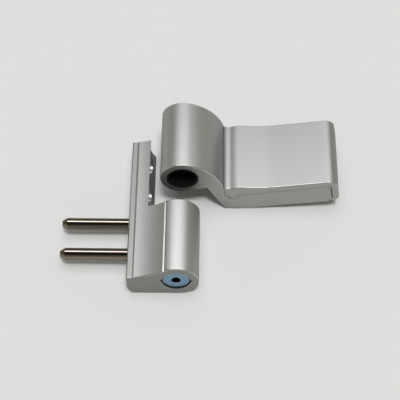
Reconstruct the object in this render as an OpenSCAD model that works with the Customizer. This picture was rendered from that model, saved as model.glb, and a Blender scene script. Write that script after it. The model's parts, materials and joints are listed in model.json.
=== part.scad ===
// Two-part surface hinge for a metal-framed door: a frame half with a milled
// knuckle and support pins, and a cranked leaf half with a slide-on cover.
// Both halves lie side by side, the leaf half resting on the bevel of its heel.
// Profiles are drawn across the hinge axis and extruded along it (+Y).

/* [Knuckles] */
// Outer diameter of both knuckles
knuckle_d = 22; // [21:0.5:24]
// Bore of the frame knuckle
frame_bore_d = 14; // [12:0.5:15]
// Bore of the leaf knuckle
leaf_bore_d = 15.7; // [13:0.1:17]
// Hinge pin diameter
pin_d = 7; // [6:0.25:7]
// Hinge pin length
pin_len = 28.5; // [24:0.5:29]
// Gap behind the drawn-back hinge pin, to the leaf knuckle's cap
pin_end_gap = 0.3; // [0.2:0.1:1.5]

/* [Frame half] */
// Length of the frame half along the hinge axis
frame_len = 81; // [80.5:0.5:100]
// Length of the frame knuckle
frame_knuckle_len = 40.3; // [38:0.1:40.5]
// Mounting face to hinge axis
frame_offset = 23.9; // [22.5:0.1:26]
// Height of the mounting edge above the hinge axis
edge_top = 2.8; // [2:0.1:3.2]
// Width of the bevel along the mounting edge's outer corner
edge_bevel = 0.5; // [0.2:0.1:0.8]
// Width of the mounting edge
edge_w = 2.7; // [2:0.1:3]
// Height of the step behind the mounting edge
edge_step = 0.6; // [0.4:0.1:1.2]
// Width of the slope up that step
step_w = 0.7; // [0.4:0.1:1]
// Width of the long chamfer under the mounting edge
edge_chamfer_w = 2.7; // [1.5:0.1:4]
// Height of the long chamfer under the mounting edge
edge_chamfer_h = 5.2; // [4:0.1:5.2]
// Where the ledge beside the knuckle is cut into it, in degrees from +X
crease_angle = 120; // [118:1:126]
// Width of the level ledge between the knuckle and the top sweep
ledge_w = 0.85; // [0.5:0.05:1.2]
// Depth of the ledge below the knuckle's surface
ledge_drop = 0.8; // [0.5:0.1:1.2]
// Radius of the concave top sweep
sweep_r = 42; // [36:1:80]
// Radius of the milled seat for the leaf knuckle
seat_r = 15.3; // [15.2:0.1:15.7]
// Hinge axis to the lower lip of the milled seat
seat_lip = 12.2; // [12.1:0.1:13]

/* [Frame fixings] */
// Spacing of the two support pins, and of the two screw holes
fixing_pitch = 17.5; // [16:0.25:18.5]
// First support pin from the near end
support_start = 16; // [12:0.5:17]
// Last screw hole from the far end
screw_end = 10; // [8:0.5:11.5]
// Depth of the fixing row below the hinge axis
fixing_drop = 1.7; // [1.4:0.1:2.2]
// Support pin diameter
support_d = 6; // [5:0.25:6.5]
// Support pin length standing out of the frame half
support_out = 33; // [25:0.5:45]
// Support pin shank diameter, inside the frame half
support_shank_d = 5; // [4:0.25:5.5]
// Support pin shank length, inside the frame half
support_in = 12; // [8:0.5:13]
// Length of the support pin's tapered tip
support_tip = 2.5; // [1.5:0.1:4]
// Frame screw clearance hole
frame_screw_d = 5.5; // [4.5:0.1:6]
// Frame screw head diameter
frame_head_d = 10.4; // [9:0.1:11]

/* [Height adjuster] */
// Adjuster screw diameter
adjuster_d = 13.3; // [10:0.1:13.4]
// Adjuster screw length
adjuster_len = 20; // [16:0.5:20]
// Depth of the adjuster below the knuckle's end face
adjuster_recess = 0.8; // [0.4:0.1:1.6]
// Hexagon socket across flats
socket_af = 4; // [3:0.5:6]
// Hexagon socket depth
socket_depth = 6; // [3:0.5:8]
// Depth of the two V-grooves along the frame knuckle's bore
groove_depth = 1.1; // [0.6:0.1:1.4]
// Thrust pad thickness at its rim
pad_t = 3.4; // [2.5:0.1:3.6]
// Length of the frame bush
bush_len = 12.5; // [10:0.5:12.5]
// Thrust washer thickness
washer_t = 0.8; // [0.5:0.1:1]
// Thrust washer outer diameter
washer_d = 20; // [16:0.5:21]

/* [Leaf half] */
// Length of the leaf half along the hinge axis
leaf_len = 39; // [37:0.25:39]
// Mounting face to hinge axis
leaf_offset = 30.5; // [29.5:0.25:33]
// Hinge axis to the outer face of the cover
leaf_reach = 74.7; // [70:0.5:90]
// Thickness of the base plate
base_t = 11.9; // [10:0.1:12.4]
// Hinge axis to the heel's inner corner
heel_start = 16.6; // [16.2:0.1:18]
// Hinge axis to the end of the heel's bevel
heel_end = 25.3; // [22:0.1:30]
// Slope of the heel's bevel, which tilts the leaf half as it lies
heel_slope = 10; // [4:0.5:12]
// Cove under the knuckle, along the mounting face
cove_x = 10.6; // [10.4:0.1:11]
// Cove under the knuckle, towards the mounting face
cove_z = 9.6; // [9.2:0.1:9.8]
// Radius of the shoulder that runs from the knuckle to the base plate
shoulder_r = 25.4; // [24.5:0.1:28]
// Where the shoulder leaves the knuckle, in degrees from +X
shoulder_angle = 62.4; // [60:0.2:66]
// Width of the open mouth of the leaf bush
bush_mouth_d = 14; // [12:0.25:14.25]
// Depth of the open mouth of the leaf bush
bush_mouth = 7.5; // [5:0.25:7.5]
// Thickness of the cap that closes the leaf knuckle
cap_t = 2.5; // [2:0.25:3]
// Leaf screw hole diameter
leaf_screw_d = 6.5; // [5:0.1:7]
// Leaf screw head diameter
leaf_head_d = 12.4; // [10:0.1:13]
// Spacing of the four leaf screws, both ways
leaf_screw_pitch = 22; // [18:0.5:24]
// Hinge axis to the first pair of leaf screws
leaf_screw_start = 36; // [34:0.5:40]

/* [Cover] */
// Thickness of the cover's flat top
cover_t = 4; // [2.5:0.1:5]
// Thickness of the cover's end wall
cover_wall = 3.2; // [2:0.1:4]
// Reach of the hook under the base plate's lip
hook_reach = 1.7; // [1:0.1:3]
// Thickness of the hook
hook_t = 1.7; // [1.2:0.1:2.4]
// Height of the hook above the mounting face
hook_lift = 0.7; // [0.3:0.1:1.2]
// Outer corner radius of the cover
cover_corner_r = 3.5; // [2:0.1:4.5]
// Length of the flat part of the cover's top
cover_flat = 30; // [24:0.5:34]
// Radius of the sweep from the flat top up to the valley
cover_sweep_r = 64; // [55:1:90]
// Radius of the valley beside the shoulder
valley_r = 3.5; // [2.5:0.1:4.5]
// Depth of the valley beside the shoulder
valley_depth = 1.3; // [0.8:0.1:1.8]
// Width of the lip between the valley and the shoulder
cover_lip = 0.7; // [0.6:0.05:1.2]
// Width of the keyed rib that holds the cover down
key_w = 3; // [2:0.1:4]
// Depth of the keyed rib
key_depth = 2; // [1.2:0.1:2.6]

/* [Laid out] */
// Leaf half aside from the frame half's axis
laid_aside = 2.3; // [1:0.1:4]
// Gap along the hinge axis between the two knuckles
laid_gap = 9.75; // [9.75:0.25:40]

/* [Fits] */
// Radial clearance of pins, bushes and adjuster in their bores
running_gap = 0.04; // [0.02:0.01:0.1]
// Gap between the cover and the leaf half
cover_gap = 0.15; // [0.1:0.05:0.3]
// Gap between the cover's end wall and the end of the base plate
hook_gap = 0.45; // [0.2:0.05:0.6]
// Play along the axis between the washer and the leaf knuckle
end_play = 0.1; // [0.05:0.05:0.3]

/* [Hidden] */
$fn = 96;
eps = 0.01;
spill = 1;
knuckle_r = knuckle_d / 2;

// Frame half, measured from the hinge axis and the near end
edge_x = -frame_offset;
step_foot = [edge_x + edge_w, edge_top];
step_slope = [step_w, edge_step];
step_above = step_foot + 2 * step_slope;
crease = knuckle_r * [cos(crease_angle), sin(crease_angle)];
ledge_z = crease.y - ledge_drop;
ledge_left = crease.x - 1.5 * ledge_w;
ledge_above = ledge_z + 2 * ledge_drop;
sweep_start = step_foot + step_slope;
sweep_end = [crease.x - ledge_w, ledge_z];
sweep_chord = sweep_end - sweep_start;
sweep_rise = sqrt(pow(sweep_r, 2) - pow(norm(sweep_chord) / 2, 2));
sweep_up = [-sweep_chord.y, sweep_chord.x] / norm(sweep_chord);
sweep_centre = (sweep_start + sweep_end) / 2 + sweep_up * sweep_rise;
seat_wall = sqrt(pow(seat_r, 2) - pow(fixing_drop, 2));
support_places = [support_start, support_start + fixing_pitch];
screw_mid = frame_len - screw_end - fixing_pitch / 2;
screw_places = [screw_mid - fixing_pitch / 2, screw_mid + fixing_pitch / 2];

// Stack inside the frame knuckle, from the near end
pad_start = adjuster_recess + adjuster_len + end_play;
bush_start = frame_knuckle_len - bush_len;
pad_dome = 0.9;
support_centre_d = 1.4;
support_end_d = 3.4;

// Leaf profile, with its mounting face level and its axis at zero
base_bottom = -leaf_offset;
base_top = base_bottom + base_t;
base_end = leaf_reach - cover_wall - hook_gap;
blend_in = 0.02;
cove = [cove_x, -cove_z];
cove_tangent = atan2(cove.y, cove.x) - acos(knuckle_r / norm(cove));
cove_leave = (knuckle_r - blend_in) * [cos(cove_tangent), sin(cove_tangent)];
heel_rise = (heel_end - heel_start) * tan(heel_slope);
heel = [heel_start, base_bottom + heel_rise];
shoulder_out = [cos(shoulder_angle), sin(shoulder_angle)];
shoulder_centre = (knuckle_r - blend_in - shoulder_r) * shoulder_out;
shoulder_end_x = shoulder_centre.x + shoulder_r;
hook_bottom = base_bottom + hook_lift;
hook_top = hook_bottom + hook_t;
pin_recess = leaf_len - cap_t - pin_end_gap - pin_len;
lip_x = base_end - hook_reach;

// Cover profile, in the leaf profile's place
cover_top = base_top + cover_t;
sweep_x = leaf_reach - cover_flat;
valley_half = sqrt(pow(valley_r, 2) - pow(valley_r - valley_depth, 2));
valley_x = shoulder_end_x + cover_lip + valley_half;
valley_top = cover_top + cover_sweep_r - sqrt(pow(cover_sweep_r, 2) - pow(sweep_x - valley_x, 2));
key_x = valley_x;
key_flare = 0.7;

// How the leaf half lies beside the frame half
laid_y = frame_knuckle_len + laid_gap;
laid_up = heel_end * -sin(heel_slope) + leaf_offset * cos(heel_slope) - knuckle_r;

silver = [0.76, 0.77, 0.78];
steel = [0.42, 0.40, 0.39];
zinc_blue = [0.62, 0.74, 0.84];
black = [0.06, 0.06, 0.065];

// Stands a profile up so that it runs along the hinge axis
module along_axis(from, length) {
  translate([0, from + length, 0]) rotate([90, 0, 0]) linear_extrude(length) children();
}

// Round bar on the hinge axis
module axis_rod(d, from, length) {
  translate([0, from, 0]) rotate([-90, 0, 0]) cylinder(d = d, h = length);
}

// Puts the middle of the frame screws on the mounting face at the origin
module to_mount() {
  translate([frame_offset, -screw_mid, fixing_drop]) children();
}

// Lays the leaf half down on its heel beside the frame half
module laid_leaf() {
  to_mount() translate([laid_aside, laid_y, laid_up]) rotate([0, -heel_slope, 0]) children();
}

// Repeats a shape at places along the row of frame fixings
module at_fixings(places) {
  for (place = places) translate([edge_x, place, -fixing_drop]) children();
}

// Mounting edge, step, sweep up to a narrow ledge, and the knuckle beside it
module frame_profile() {
  difference() {
    union() {
      polygon([
        [edge_x + edge_bevel, edge_top], [edge_x, edge_top - edge_bevel],
        [edge_x, edge_chamfer_h - knuckle_r], [edge_x + edge_chamfer_w, -knuckle_r],
        [0, -knuckle_r], [0, crease.y], [step_above.x, crease.y], step_above, step_foot
      ]);
      circle(knuckle_r);
    }
    intersection() {
      translate(sweep_centre) circle(sweep_r, $fn = 360);
      translate(step_foot) square([sweep_end.x + ledge_w / 2 - step_foot.x, knuckle_d]);
    }
    polygon([
      [ledge_left, ledge_z], [crease.x, ledge_z],
      [crease.x + ledge_drop, ledge_above], [ledge_left, ledge_above]
    ]);
  }
}

// Right-angled groove that opens into the bore
module bore_groove() {
  tip = frame_bore_d / 2 + groove_depth;
  reach = 2 * groove_depth;
  polygon([[tip, 0], [tip - reach, reach], [tip - reach, -reach]]);
}

// Room milled out of the frame half for the leaf knuckle
module leaf_seat() {
  cut = frame_len - frame_knuckle_len + spill;
  axis_rod(2 * seat_r, frame_knuckle_len, cut);
  translate([-seat_lip, frame_knuckle_len, -knuckle_d])
    cube([knuckle_d * 2, cut, knuckle_d * 2]);
}

// Countersunk screw hole through a wall, with room for the head above it
module screw_hole(d, head_d, wall, above) {
  rotate_extrude() polygon([
    [0, -spill], [d / 2, -spill], [d / 2, wall - (head_d - d) / 2],
    [head_d / 2, wall], [head_d / 2, wall + above], [0, wall + above]
  ]);
}

module frame_body() {
  color(silver) to_mount() difference() {
    along_axis(0, frame_len) frame_profile();
    leaf_seat();
    axis_rod(frame_bore_d, -spill, frame_knuckle_len + 2 * spill);
    for (side = [0, 180]) rotate([0, side, 0])
      along_axis(-spill, frame_knuckle_len + 2 * spill) bore_groove();
    at_fixings(screw_places) rotate([0, 90, 0])
      screw_hole(frame_screw_d, frame_head_d, frame_offset - seat_wall, seat_r);
    at_fixings(support_places) rotate([0, 90, 0]) translate([0, 0, -spill])
      cylinder(d = support_shank_d + 2 * running_gap, h = support_in + spill);
  }
}

// Steel pin on a thinner shank, with a blunt tapered tip that stands in the door frame
module support_pin(place) {
  color(steel) to_mount() at_fixings([place]) rotate([0, -90, 0]) rotate_extrude() polygon([
    [0, -support_in], [support_shank_d / 2, -support_in], [support_shank_d / 2, 0],
    [support_d / 2, 0], [support_d / 2, support_out - support_tip],
    [support_end_d / 2, support_out], [support_centre_d / 2, support_out],
    [support_centre_d / 2, support_out - support_centre_d], [0, support_out - support_centre_d]
  ]);
}

module frame_bush() {
  color(black) to_mount() difference() {
    axis_rod(frame_bore_d - 2 * running_gap, bush_start, bush_len);
    axis_rod(pin_d + 2 * running_gap, bush_start - spill, bush_len + 2 * spill);
  }
}

// Screw with a hexagon socket in its near end
module height_adjuster() {
  color(zinc_blue) to_mount() difference() {
    axis_rod(adjuster_d, adjuster_recess, adjuster_len);
    translate([0, adjuster_recess - eps, 0]) rotate([-90, 0, 0])
      cylinder(d = socket_af / cos(30), h = socket_depth, $fn = 6);
  }
}

// Low-friction pad between the adjuster and the end of the hinge pin
module thrust_pad() {
  color(black) to_mount() {
    axis_rod(adjuster_d, pad_start, pad_t);
    axis_rod(pin_d, pad_start + pad_t - eps, pad_dome + eps);
  }
}

// Washer that lies on the frame knuckle and turns with the leaf half
module thrust_washer() {
  color(black) to_mount() difference() {
    axis_rod(washer_d, frame_knuckle_len, washer_t);
    axis_rod(pin_d + 2 * running_gap, frame_knuckle_len - spill, washer_t + 2 * spill);
  }
}

// Outline of the shoulder, with a gap where the cover slides along it
module shoulder(gap = 0) {
  translate(shoulder_centre) circle(shoulder_r + gap, $fn = 360);
}

// Keyed rib between the cover and the base plate
module cover_key(gap = 0) {
  half = key_w / 2 + gap;
  polygon([
    [key_x - half, base_top + spill], [key_x + half, base_top + spill],
    [key_x + half + key_flare, base_top - key_depth - gap],
    [key_x - half - key_flare, base_top - key_depth - gap]
  ]);
}

// Neck and base plate, from inside the knuckle to the hooked end
module leaf_profile() {
  difference() {
    polygon([
      [0, 0], shoulder_out * knuckle_d, [base_end, knuckle_d],
      [base_end, hook_top + cover_gap], [lip_x, hook_top + cover_gap], [lip_x, base_bottom],
      [heel_end, base_bottom], heel, cove, cove_leave
    ]);
    difference() {
      translate([0, base_top]) square([leaf_reach, 2 * leaf_offset]);
      shoulder();
    }
    cover_key(cover_gap);
  }
}

// Places of the four leaf screws, on the mounting face
module at_leaf_screws() {
  for (i = [0, 1], j = [-0.5, 0.5])
    translate([leaf_screw_start + i * leaf_screw_pitch, leaf_len / 2 + j * leaf_screw_pitch, base_bottom])
      children();
}

module leaf_body() {
  color(silver) laid_leaf() difference() {
    union() {
      axis_rod(knuckle_d, 0, leaf_len);
      along_axis(0, leaf_len) leaf_profile();
    }
    axis_rod(leaf_bore_d, -spill, leaf_len + 2 * spill);
    at_leaf_screws() screw_hole(leaf_screw_d, leaf_head_d, base_t, spill);
  }
}

// Sleeve with an open mouth in front of the drawn-back pin
module leaf_bush() {
  color(black) laid_leaf() difference() {
    axis_rod(leaf_bore_d - 2 * running_gap, 0, leaf_len - cap_t);
    axis_rod(pin_d + 2 * running_gap, -spill, leaf_len + spill);
    axis_rod(bush_mouth_d, -spill, bush_mouth + spill);
  }
}

// Plug that closes the far end of the leaf knuckle
module leaf_cap() {
  color(silver) laid_leaf()
    axis_rod(leaf_bore_d - 2 * running_gap, leaf_len - cap_t, cap_t);
}

module cover_profile() {
  difference() {
    union() {
      translate([0, hook_bottom])
        square([leaf_reach - cover_corner_r, cover_top - hook_bottom + knuckle_d]);
      translate([0, hook_bottom])
        square([leaf_reach, cover_top - cover_corner_r - hook_bottom]);
      translate([leaf_reach - cover_corner_r, cover_top - cover_corner_r]) circle(cover_corner_r);
    }
    translate([sweep_x, cover_top]) square([leaf_reach, 2 * knuckle_d]);
    translate([sweep_x, cover_top + cover_sweep_r]) circle(cover_sweep_r, $fn = 360);
    translate([valley_x, valley_top + valley_r - valley_depth]) circle(valley_r);
    translate([0, valley_top]) square([valley_x, knuckle_d]);
    shoulder(cover_gap);
    difference() {
      translate([-spill, hook_bottom - spill])
        square([lip_x + cover_gap + spill, base_top + cover_gap - hook_bottom + spill]);
      cover_key();
    }
    translate([lip_x, hook_top])
      square([hook_reach + hook_gap, base_top + cover_gap - hook_top]);
  }
}

module leaf_cover() {
  color(silver) laid_leaf() along_axis(0, leaf_len) cover_profile();
}

module hinge_pin() {
  color(steel) laid_leaf() axis_rod(pin_d, pin_recess, pin_len);
}

frame_body();
support_pin(support_places[0]);  // support_pin_near
support_pin(support_places[1]);  // support_pin_far
frame_bush();
height_adjuster();
thrust_pad();
thrust_washer();
leaf_body();
leaf_bush();
leaf_cap();
leaf_cover();
hinge_pin();
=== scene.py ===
"""A two-part door hinge laid on a pale table: satin silver halves, dark steel support pins, a blue zinc
adjuster and black bushes. Lengths are in millimetres up to MM, which turns them into metres. Lamps and
the room are in metres."""
import json
import math

import bmesh
import bpy
import numpy as np
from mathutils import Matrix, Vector


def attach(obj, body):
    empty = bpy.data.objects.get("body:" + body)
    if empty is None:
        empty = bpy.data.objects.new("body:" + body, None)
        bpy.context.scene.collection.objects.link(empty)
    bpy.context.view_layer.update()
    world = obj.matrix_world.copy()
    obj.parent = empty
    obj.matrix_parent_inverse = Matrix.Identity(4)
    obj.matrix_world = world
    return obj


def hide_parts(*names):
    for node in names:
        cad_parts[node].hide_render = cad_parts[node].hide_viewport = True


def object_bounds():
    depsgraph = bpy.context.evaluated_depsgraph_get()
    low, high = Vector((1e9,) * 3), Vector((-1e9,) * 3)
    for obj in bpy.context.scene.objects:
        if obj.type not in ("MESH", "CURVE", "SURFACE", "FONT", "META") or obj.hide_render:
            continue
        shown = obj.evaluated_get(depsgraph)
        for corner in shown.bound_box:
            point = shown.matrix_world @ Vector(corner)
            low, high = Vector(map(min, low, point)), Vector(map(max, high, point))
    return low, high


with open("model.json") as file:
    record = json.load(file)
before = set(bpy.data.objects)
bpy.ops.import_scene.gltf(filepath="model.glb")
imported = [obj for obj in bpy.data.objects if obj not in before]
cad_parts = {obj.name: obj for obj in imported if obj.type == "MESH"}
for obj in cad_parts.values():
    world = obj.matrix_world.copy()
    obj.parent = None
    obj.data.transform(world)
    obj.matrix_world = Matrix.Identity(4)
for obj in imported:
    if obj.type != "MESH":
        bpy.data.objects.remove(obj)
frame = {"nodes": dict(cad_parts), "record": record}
cad_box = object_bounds()

MM = 0.001
NODES = frame["nodes"]
RECORD = frame["record"]
BODY_OF = {n: body for body, names in RECORD["behaviour"]["bodies"].items() for n in names}
SLOT_OF = {s["node"]: s["material_slot"] for s in RECORD["subparts"]}
JOINTS = {j["name"]: j for j in RECORD["behaviour"]["joints"]}
MOUNTS = {m["name"]: m for m in RECORD["mounts"]}

# Hinge axis at the frame knuckle's far end, the leaf half's own axis as it lies, and the frame screws
AXIS_X, KNUCKLE_END, AXIS_Z = np.array(JOINTS["leaf_swing"]["pos_m"]) / MM
SEAT_MOVE = np.array(JOINTS["leaf_seat"]["axis"]) * JOINTS["leaf_seat"]["range_m"][1] / MM
KNUCKLE_AXES = {"frame_body": (AXIS_X, AXIS_Z),
                "leaf_body": (AXIS_X - SEAT_MOVE[0], AXIS_Z - SEAT_MOVE[2])}
SCREW_Y = MOUNTS["frame_screws"]["dims"]["spacing_x_mm"] / 2

scene = bpy.context.scene
scene.view_settings.view_transform = "Standard"


# Finishes

def new_group(name, inputs, outputs):
    """An empty shader node group with (name, type, default) inputs and (name, type) outputs."""
    tree = bpy.data.node_groups.new(name, "ShaderNodeTree")
    for label, kind, value in inputs:
        socket = tree.interface.new_socket(label, in_out="INPUT", socket_type=kind)
        socket.default_value = value
    for label, kind in outputs:
        tree.interface.new_socket(label, in_out="OUTPUT", socket_type=kind)
    return tree, tree.nodes.new("NodeGroupInput"), tree.nodes.new("NodeGroupOutput")


def math_node(tree, kind, *values):
    """A Math node whose inputs are numbers or sockets."""
    node = tree.nodes.new("ShaderNodeMath")
    node.operation = kind
    for socket, value in zip(node.inputs, values):
        if hasattr(value, "is_linked"):
            tree.links.new(value, socket)
        else:
            socket.default_value = value
    return node.outputs[0]


def stretched_noise(tree, vector, scale, detail=3.0, rough=0.55):
    """Noise on a vector stretched by a scale for each axis, which gives grain that runs one way."""
    mapping = tree.nodes.new("ShaderNodeMapping")
    mapping.inputs["Scale"].default_value = scale
    tree.links.new(vector, mapping.inputs["Vector"])
    noise = tree.nodes.new("ShaderNodeTexNoise")
    noise.inputs["Scale"].default_value = 1.0
    noise.inputs["Detail"].default_value = detail
    noise.inputs["Roughness"].default_value = rough
    tree.links.new(mapping.outputs["Vector"], noise.inputs["Vector"])
    return noise.outputs["Fac"]


# Waves of noise per metre along X, Y and Z
ETCH_WAVES = (5200, 5200, 5200)
DIE_LINE_WAVES = (2600, 26, 2600)
CLOUD_WAVES = (38, 22, 38)
MEAN_NOISE = 0.5
# How much the die lines and the cloud change the height, the roughness and the colour
LINE_HEIGHT, LINE_ROUGHNESS, LINE_TONE = 0.8, 0.10, 0.06
CLOUD_ROUGHNESS, CLOUD_TONE = 0.08, 0.05


def make_satin_grain():
    """Etched satin with faint die lines along the extrusion. Height is even fine noise plus noise stretched
    along Y. Roughness and colour follow those lines and a slow cloud."""
    tree, into, out = new_group(
        "satin_grain",
        [("Vector", "NodeSocketVector", (0, 0, 0)), ("Colour", "NodeSocketColor", (0.5, 0.5, 0.5, 1)),
         ("Roughness", "NodeSocketFloat", 0.35), ("Lines", "NodeSocketFloat", 1.0)],
        [("Colour", "NodeSocketColor"), ("Roughness", "NodeSocketFloat"), ("Height", "NodeSocketFloat")])
    at = into.outputs["Vector"]
    etch = stretched_noise(tree, at, ETCH_WAVES, detail=2.0)
    lines = math_node(tree, "SUBTRACT", stretched_noise(tree, at, DIE_LINE_WAVES), MEAN_NOISE)
    lines = math_node(tree, "MULTIPLY", lines, into.outputs["Lines"])
    cloud = math_node(tree, "SUBTRACT", stretched_noise(tree, at, CLOUD_WAVES), MEAN_NOISE)

    def plus(base, wave, share):
        return math_node(tree, "ADD", base, math_node(tree, "MULTIPLY", wave, share))

    tree.links.new(plus(etch, lines, LINE_HEIGHT), out.inputs["Height"])
    rough = plus(plus(into.outputs["Roughness"], lines, LINE_ROUGHNESS), cloud, CLOUD_ROUGHNESS)
    tree.links.new(rough, out.inputs["Roughness"])
    tone = tree.nodes.new("ShaderNodeVectorMath")
    tone.operation = "SCALE"
    tree.links.new(into.outputs["Colour"], tone.inputs[0])
    tree.links.new(plus(plus(1.0, cloud, CLOUD_TONE), lines, LINE_TONE), tone.inputs["Scale"])
    tree.links.new(tone.outputs["Vector"], out.inputs["Colour"])
    return tree


SATIN_GRAIN = make_satin_grain()
GRAIN_STRENGTH, GRAIN_DEPTH = 0.05, 0.02
GRAZING_TINT = 0.45


def grained(name, colour, roughness, lines=1.0, metallic=1.0):
    """A finish made of the shared grain: its colour, roughness and height vary over the surface."""
    made = bpy.data.materials.new(name)
    made.use_nodes = True
    tree = made.node_tree
    shader = tree.nodes["Principled BSDF"]
    shader.inputs["Metallic"].default_value = metallic
    shader.inputs["Specular Tint"].default_value = (GRAZING_TINT, GRAZING_TINT, GRAZING_TINT, 1)
    place = tree.nodes.new("ShaderNodeTexCoord")
    grain = tree.nodes.new("ShaderNodeGroup")
    grain.node_tree = SATIN_GRAIN
    grain.inputs["Colour"].default_value = (*colour, 1)
    grain.inputs["Roughness"].default_value = roughness
    grain.inputs["Lines"].default_value = lines
    tree.links.new(place.outputs["Object"], grain.inputs["Vector"])
    tree.links.new(grain.outputs["Colour"], shader.inputs["Base Color"])
    tree.links.new(grain.outputs["Roughness"], shader.inputs["Roughness"])
    relief = tree.nodes.new("ShaderNodeBump")
    relief.inputs["Strength"].default_value = GRAIN_STRENGTH
    relief.inputs["Distance"].default_value = GRAIN_DEPTH * MM
    tree.links.new(grain.outputs["Height"], relief.inputs["Height"])
    tree.links.new(relief.outputs["Normal"], shader.inputs["Normal"])
    return made


ANODISED = grained("anodised_satin", (0.45, 0.45, 0.45), 0.47)
EDGE = grained("anodised_edge", (0.33, 0.335, 0.33), 0.55)
COVER = grained("anodised_cover", (0.41, 0.41, 0.41), 0.47)
SAWN = grained("anodised_sawn_end", (0.43, 0.44, 0.42), 0.5, lines=0.3)
SAWN_FRAME = grained("frame_sawn_end", (0.325, 0.335, 0.315), 0.5, lines=0.3)
# A brighter, glossier copy of the satin finish: a painted highlight on the rounded edges of the two halves
# and on the cover's upward rims.
RIM_HIGHLIGHT = grained("rim_painted_highlight", (0.58, 0.58, 0.58), 0.2, lines=0.2)
# A darker copy of the satin finish for the seat recess: the milled face, darkened with painted shade.
MILLED_SHADED = grained("milled_seat_painted_shade", (0.38, 0.40, 0.38), 0.4, lines=0.3)
BARE = grained("bare_countersink", (0.85, 0.86, 0.86), 0.3, lines=0.2)
DARK_STEEL = grained("dark_steel", (0.24, 0.205, 0.18), 0.13, lines=0.4)
ZINC = grained("blue_zinc", (0.25, 0.375, 0.51), 0.35, lines=0.3)
# Near black painted shade for the deep hexagon socket and the adjuster's rounded edges.
PAINTED_SOCKET_SHADE = grained("socket_shade", (0.02, 0.02, 0.02), 0.6, lines=0.0)
BLACK = grained("black_bush", (0.008, 0.008, 0.009), 0.6, lines=0.0, metallic=0.0)
SLOT_FINISH = {"anodised": ANODISED, "dark_steel": DARK_STEEL, "zinc": ZINC, "black_plastic": BLACK}


# Which faces get which finish, by face centre (mm) and normal

SEAT_R = 15.6
SOCKET_R = 2.5
SOCKET_MOUTH = -61.45
MOUNTING_EDGE_W = 2.8
SCREW_HEAD_R = 5.3
PAST = 0.1
LOOKS_ALONG = 0.9
RIM_TURNS, RIM_LOOKS_UP = 0.15, 0.1
SEAT_LOOKS_OUT = 0.2
SOCKET_LOOKS_BACK = 0.5
LOOKS_SQUARE = 0.95


def from_hinge_axis(at):
    """Distance of points from the hinge axis."""
    return np.hypot(at[:, 0] - AXIS_X, at[:, 2] - AXIS_Z)


def all_faces(at, normal):
    """Every face."""
    return np.ones(len(at), bool)


def end_faces(at, normal):
    """Sawn or milled faces that look along the hinge axis."""
    return np.abs(normal[:, 1]) > LOOKS_ALONG


def upward_rim_highlight_faces(at, normal):
    """Rounded upper rims of the cover's two ends, which get a painted highlight."""
    turned = np.abs(normal[:, 1])
    return (turned > RIM_TURNS) & (turned < LOOKS_ALONG) & (normal[:, 2] > RIM_LOOKS_UP)


def shaded_seat_faces(at, normal):
    """Faces of the milled seat, painted darker as shade: behind the frame knuckle and near the hinge axis.
    """
    behind = at[:, 1] > KNUCKLE_END + PAST
    return behind & (from_hinge_axis(at) < SEAT_R) & (normal[:, 0] > SEAT_LOOKS_OUT)


def socket_shade_faces(at, normal):
    """Walls and floor of the hexagon socket, painted near black as shade."""
    inside = (from_hinge_axis(at) < SOCKET_R) & (at[:, 1] > SOCKET_MOUTH + PAST)
    return inside & (normal[:, 1] < SOCKET_LOOKS_BACK)


def screw_faces(at, normal):
    """Countersinks and head recesses of the two frame screws."""
    from_screw = np.hypot(np.abs(at[:, 1]) - SCREW_Y, at[:, 2])
    return (from_screw < SCREW_HEAD_R) & (np.abs(normal[:, 0]) < LOOKS_SQUARE)


def edge_faces(at, normal):
    """Top of the mounting edge."""
    return (at[:, 0] < MOUNTING_EDGE_W) & (normal[:, 2] > LOOKS_SQUARE)


FACE_FINISH = {
    "frame_body": ((SAWN_FRAME, end_faces), (MILLED_SHADED, shaded_seat_faces), (BARE, screw_faces), (EDGE, edge_faces)),
    "leaf_body": ((SAWN, end_faces),),
    "leaf_cover": ((COVER, all_faces), (SAWN, end_faces), (RIM_HIGHLIGHT, upward_rim_highlight_faces)),
    "height_adjuster": ((PAINTED_SOCKET_SHADE, socket_shade_faces),),
}
# Rounded edges get their own paint: a painted highlight on the two halves, painted shade on the adjuster.
ROUNDED_EDGE_HIGHLIGHT_AND_SHADE = {"frame_body": RIM_HIGHLIGHT, "leaf_body": RIM_HIGHLIGHT, "height_adjuster": PAINTED_SOCKET_SHADE}


def read(items, field, width=1, kind=float):
    """One field of a mesh's vertices, edges, loops or faces as an array, with a row for each."""
    values = np.empty(len(items) * width, kind)
    items.foreach_get(field, values)
    return values.reshape(-1, width) if width > 1 else values


def finish_faces(mesh, node):
    """Gives a mesh its slot's finish, and other finishes where a rule of FACE_FINISH picks a face."""
    mesh.materials.clear()
    mesh.materials.append(SLOT_FINISH[SLOT_OF[node]])
    at, normal = read(mesh.polygons, "center", 3) / MM, read(mesh.polygons, "normal", 3)
    index = np.zeros(len(at), np.int32)
    for made, rule in FACE_FINISH.get(node, ()):
        mesh.materials.append(made)
        index[rule(at, normal)] = len(mesh.materials) - 1
    mesh.polygons.foreach_set("material_index", index)


# Pieces that are rounded copies of the solids

MERGE_REACH, FLAT_ANGLE = 1e-6, 0.004
SMOOTH_ANGLE = 20.0
NEAR_END, COVER_START = -12.0, 47.3
BORE_REACH = 9.5
NEAR_ROUND, BORE_ROUND = 0.38, 0.16
LIFT_FROM, LIFT_SPAN = 0.05, 0.45
ROUND_STEPS = 4
EDGE_ROUND = {"frame_body": 0.12, "leaf_body": 0.12, "height_adjuster": 0.25,
              "support_pin_near": 0.2, "support_pin_far": 0.2}


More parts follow.
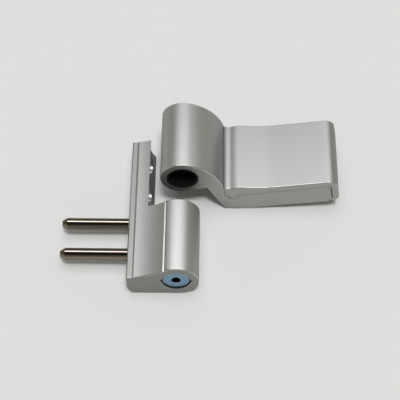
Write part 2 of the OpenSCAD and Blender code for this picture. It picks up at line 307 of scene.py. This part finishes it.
def edge_table(mesh):
    """Middle (mm), fold angle (degrees) and both face normals of every edge, from the two loops on it."""
    ends = read(mesh.edges, "vertices", 2, np.int32)
    middle = read(mesh.vertices, "co", 3)[ends].mean(1) / MM
    loop_edge = read(mesh.loops, "edge_index", kind=np.int32)
    sizes = read(mesh.polygons, "loop_total", kind=np.int32)
    face_of = np.repeat(np.arange(len(sizes)), sizes)[np.argsort(loop_edge, kind="stable")]
    pair = read(mesh.polygons, "normal", 3)[face_of.reshape(-1, 2)]
    fold = np.degrees(np.arccos(np.clip((pair[:, 0] * pair[:, 1]).sum(1), -1, 1)))
    return middle, fold, pair


def round_weights(mesh, node, width):
    """Rounding of each edge as a part of NEAR_ROUND: none on smooth edges and under the cover, and the most
    on the near end of a knuckle, where it follows how far the side face looks up."""
    middle, fold, pair = edge_table(mesh)
    wide = np.full(len(fold), width)
    if node in KNUCKLE_AXES:
        side = pair[np.arange(len(pair)), pair[:, :, 1].argmax(1)]
        near = (pair[:, :, 1].min(1) < -LOOKS_ALONG) & (middle[:, 1] < NEAR_END)
        bore = np.hypot(*(middle[:, [0, 2]] - KNUCKLE_AXES[node]).T) < BORE_REACH
        covered = (np.abs(pair[:, :, 1]).max(1) > LOOKS_ALONG) & (middle[:, 0] > COVER_START)
        lift = np.clip((side[:, 2] - LIFT_FROM) / LIFT_SPAN, 0, 1)
        wide = np.where(near, width + (NEAR_ROUND - width) * lift, wide)
        wide[near & bore] = BORE_ROUND
        wide[covered] = 0.0
    folded = fold > SMOOTH_ANGLE
    wide[~folded] = 0.0
    sharp = mesh.attributes.new("sharp_edge", "BOOLEAN", "EDGE")
    sharp.data.foreach_set("value", (wide == 0) & folded)
    weight = mesh.attributes.new("bevel_weight_edge", "FLOAT", "EDGE")
    weight.data.foreach_set("value", (wide / NEAR_ROUND).astype(np.float32))


def whole_faces(node):
    """A copy of a solid's mesh with its triangles merged into whole faces."""
    mesh = NODES[node].data.copy()
    mesh.name = node + "_copy"
    work = bmesh.new()
    work.from_mesh(mesh)
    bmesh.ops.remove_doubles(work, verts=work.verts, dist=MERGE_REACH)
    bmesh.ops.dissolve_limit(work, angle_limit=FLAT_ANGLE, verts=work.verts, edges=work.edges)
    work.to_mesh(mesh)
    work.free()
    if mesh.has_custom_normals:
        mesh.attributes.remove(mesh.attributes["custom_normal"])
    mesh.shade_smooth()
    return mesh


def new_piece(node, mesh):
    """An object at the origin that shows a mesh in place of a solid."""
    piece = bpy.data.objects.new(node + "_piece", mesh)
    scene.collection.objects.link(piece)
    return piece


def hand_over(piece, node):
    """Evens out a piece's shading, puts it on the solid's body and hides the solid."""
    piece.modifiers.new("shading", "WEIGHTED_NORMAL").keep_sharp = True
    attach(piece, BODY_OF[node])
    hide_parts(node)


def rounded_copy(node, width):
    """A copy of a solid's mesh with whole faces and rounded edges, which may have paint of their own: a
    painted highlight on the two halves, painted shade on the adjuster.
    """
    mesh = whole_faces(node)
    finish_faces(mesh, node)
    round_weights(mesh, node, width)
    piece = new_piece(node, mesh)
    bevel = piece.modifiers.new("edges", "BEVEL")
    bevel.width = NEAR_ROUND * MM
    bevel.segments = ROUND_STEPS
    bevel.limit_method = "WEIGHT"
    bevel.use_clamp_overlap = False
    if node in ROUNDED_EDGE_HIGHLIGHT_AND_SHADE:
        mesh.materials.append(ROUNDED_EDGE_HIGHLIGHT_AND_SHADE[node])
        bevel.material = len(mesh.materials) - 1
    hand_over(piece, node)


# Cover

# Handles of the curves that soften the cover's outline (x and z): the lip and the valley beside the
# shoulder, and the upper outer corner
VALLEY = (((46.70, 8.48), (47.45, 7.72), (49.0, 7.7)),
          ((49.0, 7.7), (50.6, 7.7), (51.9, 9.45), (55.66, 9.04)))
OUTER_CORNER = (((96.6, 13.93), (102.3, 14.94), (103.24, 9.6)),)
HOOK_CORNER = np.array((104.94, -0.03))
HOOK_CORNER_REACH = 1.0
HOOK_ROUND, COVER_ROUND = 3.2, 0.6
SOFT_X, SOFT_Z = 53.0, 7.0
CORNER_TURN = 25.0
SIDE_STEP = 2.0
CURVE_POINTS, CORNER_POINTS = 12, 7
COVER_RIM, RIM_STEPS = 0.4, 5
LIP_REACH, LIP_RIM = 3.0, 0.06
RIM_LEAST, RIM_TILT = 0.3, 2.5
MITRE_LEAST = 0.9


def near_outline(mesh):
    """Corners of the near end face in order (x and z, mm), and the solid's two ends (y, mm)."""
    points = read(mesh.vertices, "co", 3) / MM
    face = max((f for f in mesh.polygons if f.normal.y < -LOOKS_ALONG), key=lambda f: f.area)
    return points[np.array(face.vertices[:])][:, [0, 2]], points[:, 1].min(), points[:, 1].max()


def curve(*handles, count=CURVE_POINTS):
    """Points of the Bezier curve with these handles: each handle weighted by its Bernstein polynomial."""
    t = np.linspace(0, 1, count)[:, None]
    order = len(handles) - 1
    return sum(math.comb(order, i) * t ** i * (1 - t) ** (order - i) * np.array(handle)
               for i, handle in enumerate(handles))


def turns(loop):
    """Angle by which a closed outline turns at each of its points (degrees)."""
    ahead = np.roll(loop, -1, 0) - loop
    heading = np.arctan2(ahead[:, 1], ahead[:, 0])
    return np.degrees(np.abs((heading - np.roll(heading, 1) + np.pi) % (2 * np.pi) - np.pi))


def split_sides(loop, step):
    """The outline with points added on its sides, so that none is longer than a step."""
    ahead = np.roll(loop, -1, 0) - loop
    count = np.ceil(np.hypot(*ahead.T) / step).astype(int)
    part = np.concatenate([np.arange(n) / n for n in count])[:, None]
    return np.repeat(loop, count, axis=0) + part * np.repeat(ahead, count, axis=0)


def replace_run(loop, chain):
    """The outline with the shorter run between the ends of a chain of curves replaced by the chain."""
    run = np.vstack([curve(*handles)[min(i, 1):] for i, handles in enumerate(chain)])
    first, last = (np.argmin(np.hypot(*(loop - end).T)) for end in (run[0], run[-1]))
    loop = np.roll(loop, -first, axis=0)
    gap = (last - first) % len(loop)
    if gap < len(loop) - gap:
        return np.vstack([run, loop[gap + 1:]])
    return np.vstack([run[::-1], loop[1:gap]])


def blend_corner(loop, corner, reach):
    """The outline with the corner nearest to a point replaced by a curve from `reach` before to `reach`
    after it."""
    loop = np.roll(loop, -np.argmin(np.hypot(*(loop - corner).T)), axis=0)
    ring = np.vstack([loop, loop[:1]])
    length = np.append(0, np.cumsum(np.hypot(*np.diff(ring, axis=0).T)))
    start, end = (np.array([np.interp(d, length, ring[:, i]) for i in (0, 1)])
                  for d in (length[-1] - reach, reach))
    keep = (length > reach) & (length < length[-1] - reach)
    return np.vstack([curve(start, loop[0], end, count=CORNER_POINTS), ring[keep]])


def swept_mesh(name, loop, near, far, rim):
    """An outline (x and z) swept along Y with rounded rims. The ring of a rim at angle a is the outline
    moved inwards by w(1 - sin a), at a distance of w(1 - cos a) from the end. The width w is the rim, down
    to RIM_LEAST of it on sides that look down."""
    ahead = np.roll(loop, -1, 0) - loop
    side = np.stack([-ahead[:, 1], ahead[:, 0]], 1) / np.hypot(*ahead.T)[:, None]
    area = (loop[:, 0] * np.roll(loop[:, 1], -1) - loop[:, 1] * np.roll(loop[:, 0], -1)).sum()
    side *= np.sign(area)
    both = side + np.roll(side, 1, 0)
    inward = both / np.maximum((both ** 2).sum(1, keepdims=True) / 2, MITRE_LEAST)
    looks_up = np.clip(0.5 - RIM_TILT * inward[:, 1], 0, 1)
    width = rim * (RIM_LEAST + (1 - RIM_LEAST) * looks_up)
    angle = np.linspace(0, np.pi / 2, RIM_STEPS)[:, None]
    inset, depth = (1 - np.sin(angle)) * width, (1 - np.cos(angle)) * width
    inset = np.vstack([inset, inset[::-1]])
    along = np.vstack([near + depth, (far - depth)[::-1]])
    flat = loop[None] + inset[..., None] * inward[None]
    points = np.stack([flat[..., 0], along, flat[..., 1]], -1)
    rings, count = points.shape[:2]
    index = np.arange(rings * count).reshape(rings, count)
    beside = np.roll(index, -1, 1)
    quads = np.stack([index[:-1], beside[:-1], beside[1:], index[1:]], -1)
    faces = quads.reshape(-1, 4).tolist() + [index[0, ::-1].tolist(), index[-1].tolist()]
    mesh = bpy.data.meshes.new(name)
    mesh.from_pydata((points.reshape(-1, 3) * MM).tolist(), [], faces)
    if area > 0:
        mesh.flip_normals()
    mesh.shade_smooth()
    return mesh


def soft_cover(node):
    """The cover as a swept outline: a soft valley beside the shoulder, round outer corners and rounded
    rims, which narrow towards the lip."""
    loop, near, far = near_outline(whole_faces(node))
    corners = loop[turns(loop) > CORNER_TURN]
    loop = split_sides(loop, SIDE_STEP)
    for chain in (VALLEY, OUTER_CORNER):
        loop = replace_run(loop, chain)
    for corner in corners[(corners[:, 0] > SOFT_X) | (corners[:, 1] < SOFT_Z)]:
        hook = np.hypot(*(corner - HOOK_CORNER)) < HOOK_CORNER_REACH
        loop = blend_corner(loop, corner, HOOK_ROUND if hook else COVER_ROUND)
    lip = np.array(VALLEY[0][0])
    rim = COVER_RIM * np.clip(np.hypot(*(loop - lip).T) / LIP_REACH, LIP_RIM, 1)
    mesh = swept_mesh(node + "_swept", loop, near, far, rim)
    finish_faces(mesh, node)
    hand_over(new_piece(node, mesh), node)


def plain_solid(node):
    """Shows a solid's own mesh in its slot's finish."""
    mesh = NODES[node].data
    mesh.materials.clear()
    mesh.materials.append(SLOT_FINISH[SLOT_OF[node]])
    NODES[node].material_slots[0].material = SLOT_FINISH[SLOT_OF[node]]


for node, width in EDGE_ROUND.items():
    rounded_copy(node, width)
soft_cover("leaf_cover")
for node in ("frame_bush", "thrust_pad", "thrust_washer", "leaf_bush", "leaf_cap", "hinge_pin"):
    plain_solid(node)


# Table, light and camera

TABLE_HALF = 3.0
TABLE_GREY, TABLE_ROUGHNESS, TABLE_SHINE = 0.80, 0.9, 0.2


def plain_table(level):
    """A level square table top with a soft pale finish."""
    corners = np.array([[-1, -1, 0], [1, -1, 0], [1, 1, 0], [-1, 1, 0]]) * TABLE_HALF
    corners[:, 2] = level
    mesh = bpy.data.meshes.new("table")
    mesh.from_pydata(corners.tolist(), [], [(0, 1, 2, 3)])
    made = bpy.data.materials.new("table_top")
    made.use_nodes = True
    shader = made.node_tree.nodes["Principled BSDF"]
    shader.inputs["Base Color"].default_value = (TABLE_GREY, TABLE_GREY, TABLE_GREY, 1)
    shader.inputs["Roughness"].default_value = TABLE_ROUGHNESS
    shader.inputs["Specular IOR Level"].default_value = TABLE_SHINE
    mesh.materials.append(made)
    top = bpy.data.objects.new("table", mesh)
    scene.collection.objects.link(top)


def add_lamp(name, kind, power):
    """A lamp of a kind at the origin that shines down (watts, or strength for a sun)."""
    light = bpy.data.lights.new(name, kind)
    light.energy = power
    lamp = bpy.data.objects.new(name, light)
    scene.collection.objects.link(lamp)
    return lamp


def area_lamp(name, at, size, power):
    """A rectangular lamp turned towards the point of the X axis with its own x."""
    lamp = add_lamp(name, "AREA", power)
    lamp.data.shape = "RECTANGLE"
    lamp.data.size, lamp.data.size_y = size
    lamp.location = at
    below = Vector((at[0], 0.0, 0.0))
    lamp.rotation_euler = (below - Vector(at)).to_track_quat("-Z", "Y").to_euler()
    return lamp


def sun_lamp(name, power, spread, tilt, lean):
    """A sun that shines down, tilted away from the camera and leant aside (degrees)."""
    lamp = add_lamp(name, "SUN", power)
    lamp.data.angle = math.radians(spread)
    lamp.rotation_euler = (math.radians(tilt), math.radians(lean), 0.0)
    return lamp


WALL_LIGHT, CEILING_LIGHT, CEILING_Z = 0.58, 0.04, 0.8
ROOM_TINT = (0.97, 1, 0.79, 1)


def grey_room():
    """A room that is pale at the horizon and fades smoothly to a dim ceiling."""
    made = bpy.data.worlds.new("room")
    made.use_nodes = True
    tree = made.node_tree
    place = tree.nodes.new("ShaderNodeTexCoord")
    parts = tree.nodes.new("ShaderNodeSeparateXYZ")
    tree.links.new(place.outputs["Generated"], parts.inputs["Vector"])
    fade = tree.nodes.new("ShaderNodeMapRange")
    fade.interpolation_type = "SMOOTHSTEP"
    fade.inputs["From Max"].default_value = CEILING_Z
    fade.inputs["To Min"].default_value = WALL_LIGHT
    fade.inputs["To Max"].default_value = CEILING_LIGHT
    tree.links.new(parts.outputs["Z"], fade.inputs["Value"])
    tree.links.new(fade.outputs["Result"], tree.nodes["Background"].inputs["Strength"])
    tree.nodes["Background"].inputs["Color"].default_value = ROOM_TINT
    scene.world = made


# Camera, fitted to the knuckles and edges (mm)
CAMERA_AT = (39.1, -374.8, 526.8)
CAMERA_TO = (34.86, -14.77, 1.7)
CAMERA_LENS, CAMERA_SENSOR = 114.5, 36.0
CAMERA_NEAREST = 10.0


def photo_camera():
    """The camera at the photograph's viewing angle."""
    camera = bpy.data.objects.new("camera", bpy.data.cameras.new("camera"))
    camera.data.lens = CAMERA_LENS
    camera.data.sensor_width = CAMERA_SENSOR
    camera.data.clip_start = CAMERA_NEAREST * MM
    camera.location = Vector(CAMERA_AT) * MM
    camera.rotation_euler = (Vector(CAMERA_TO) - Vector(CAMERA_AT)).to_track_quat("-Z", "Y").to_euler()
    scene.collection.objects.link(camera)
    scene.camera = camera


plain_table(cad_box[0].z)
# The overhead lamp gives the metal its highlights. The other two light only the table and the plastic.
area_lamp("overhead", (0.09, 0.25, 0.79), (1.08, 0.29), 6.1).visible_diffuse = False
area_lamp("fill", (0.03, 0.0, 1.6), (1.2, 1.2), 9.5).visible_glossy = False
sun_lamp("front", 1.55, spread=11.0, tilt=19.0, lean=3.5).visible_glossy = False
grey_room()
photo_camera()
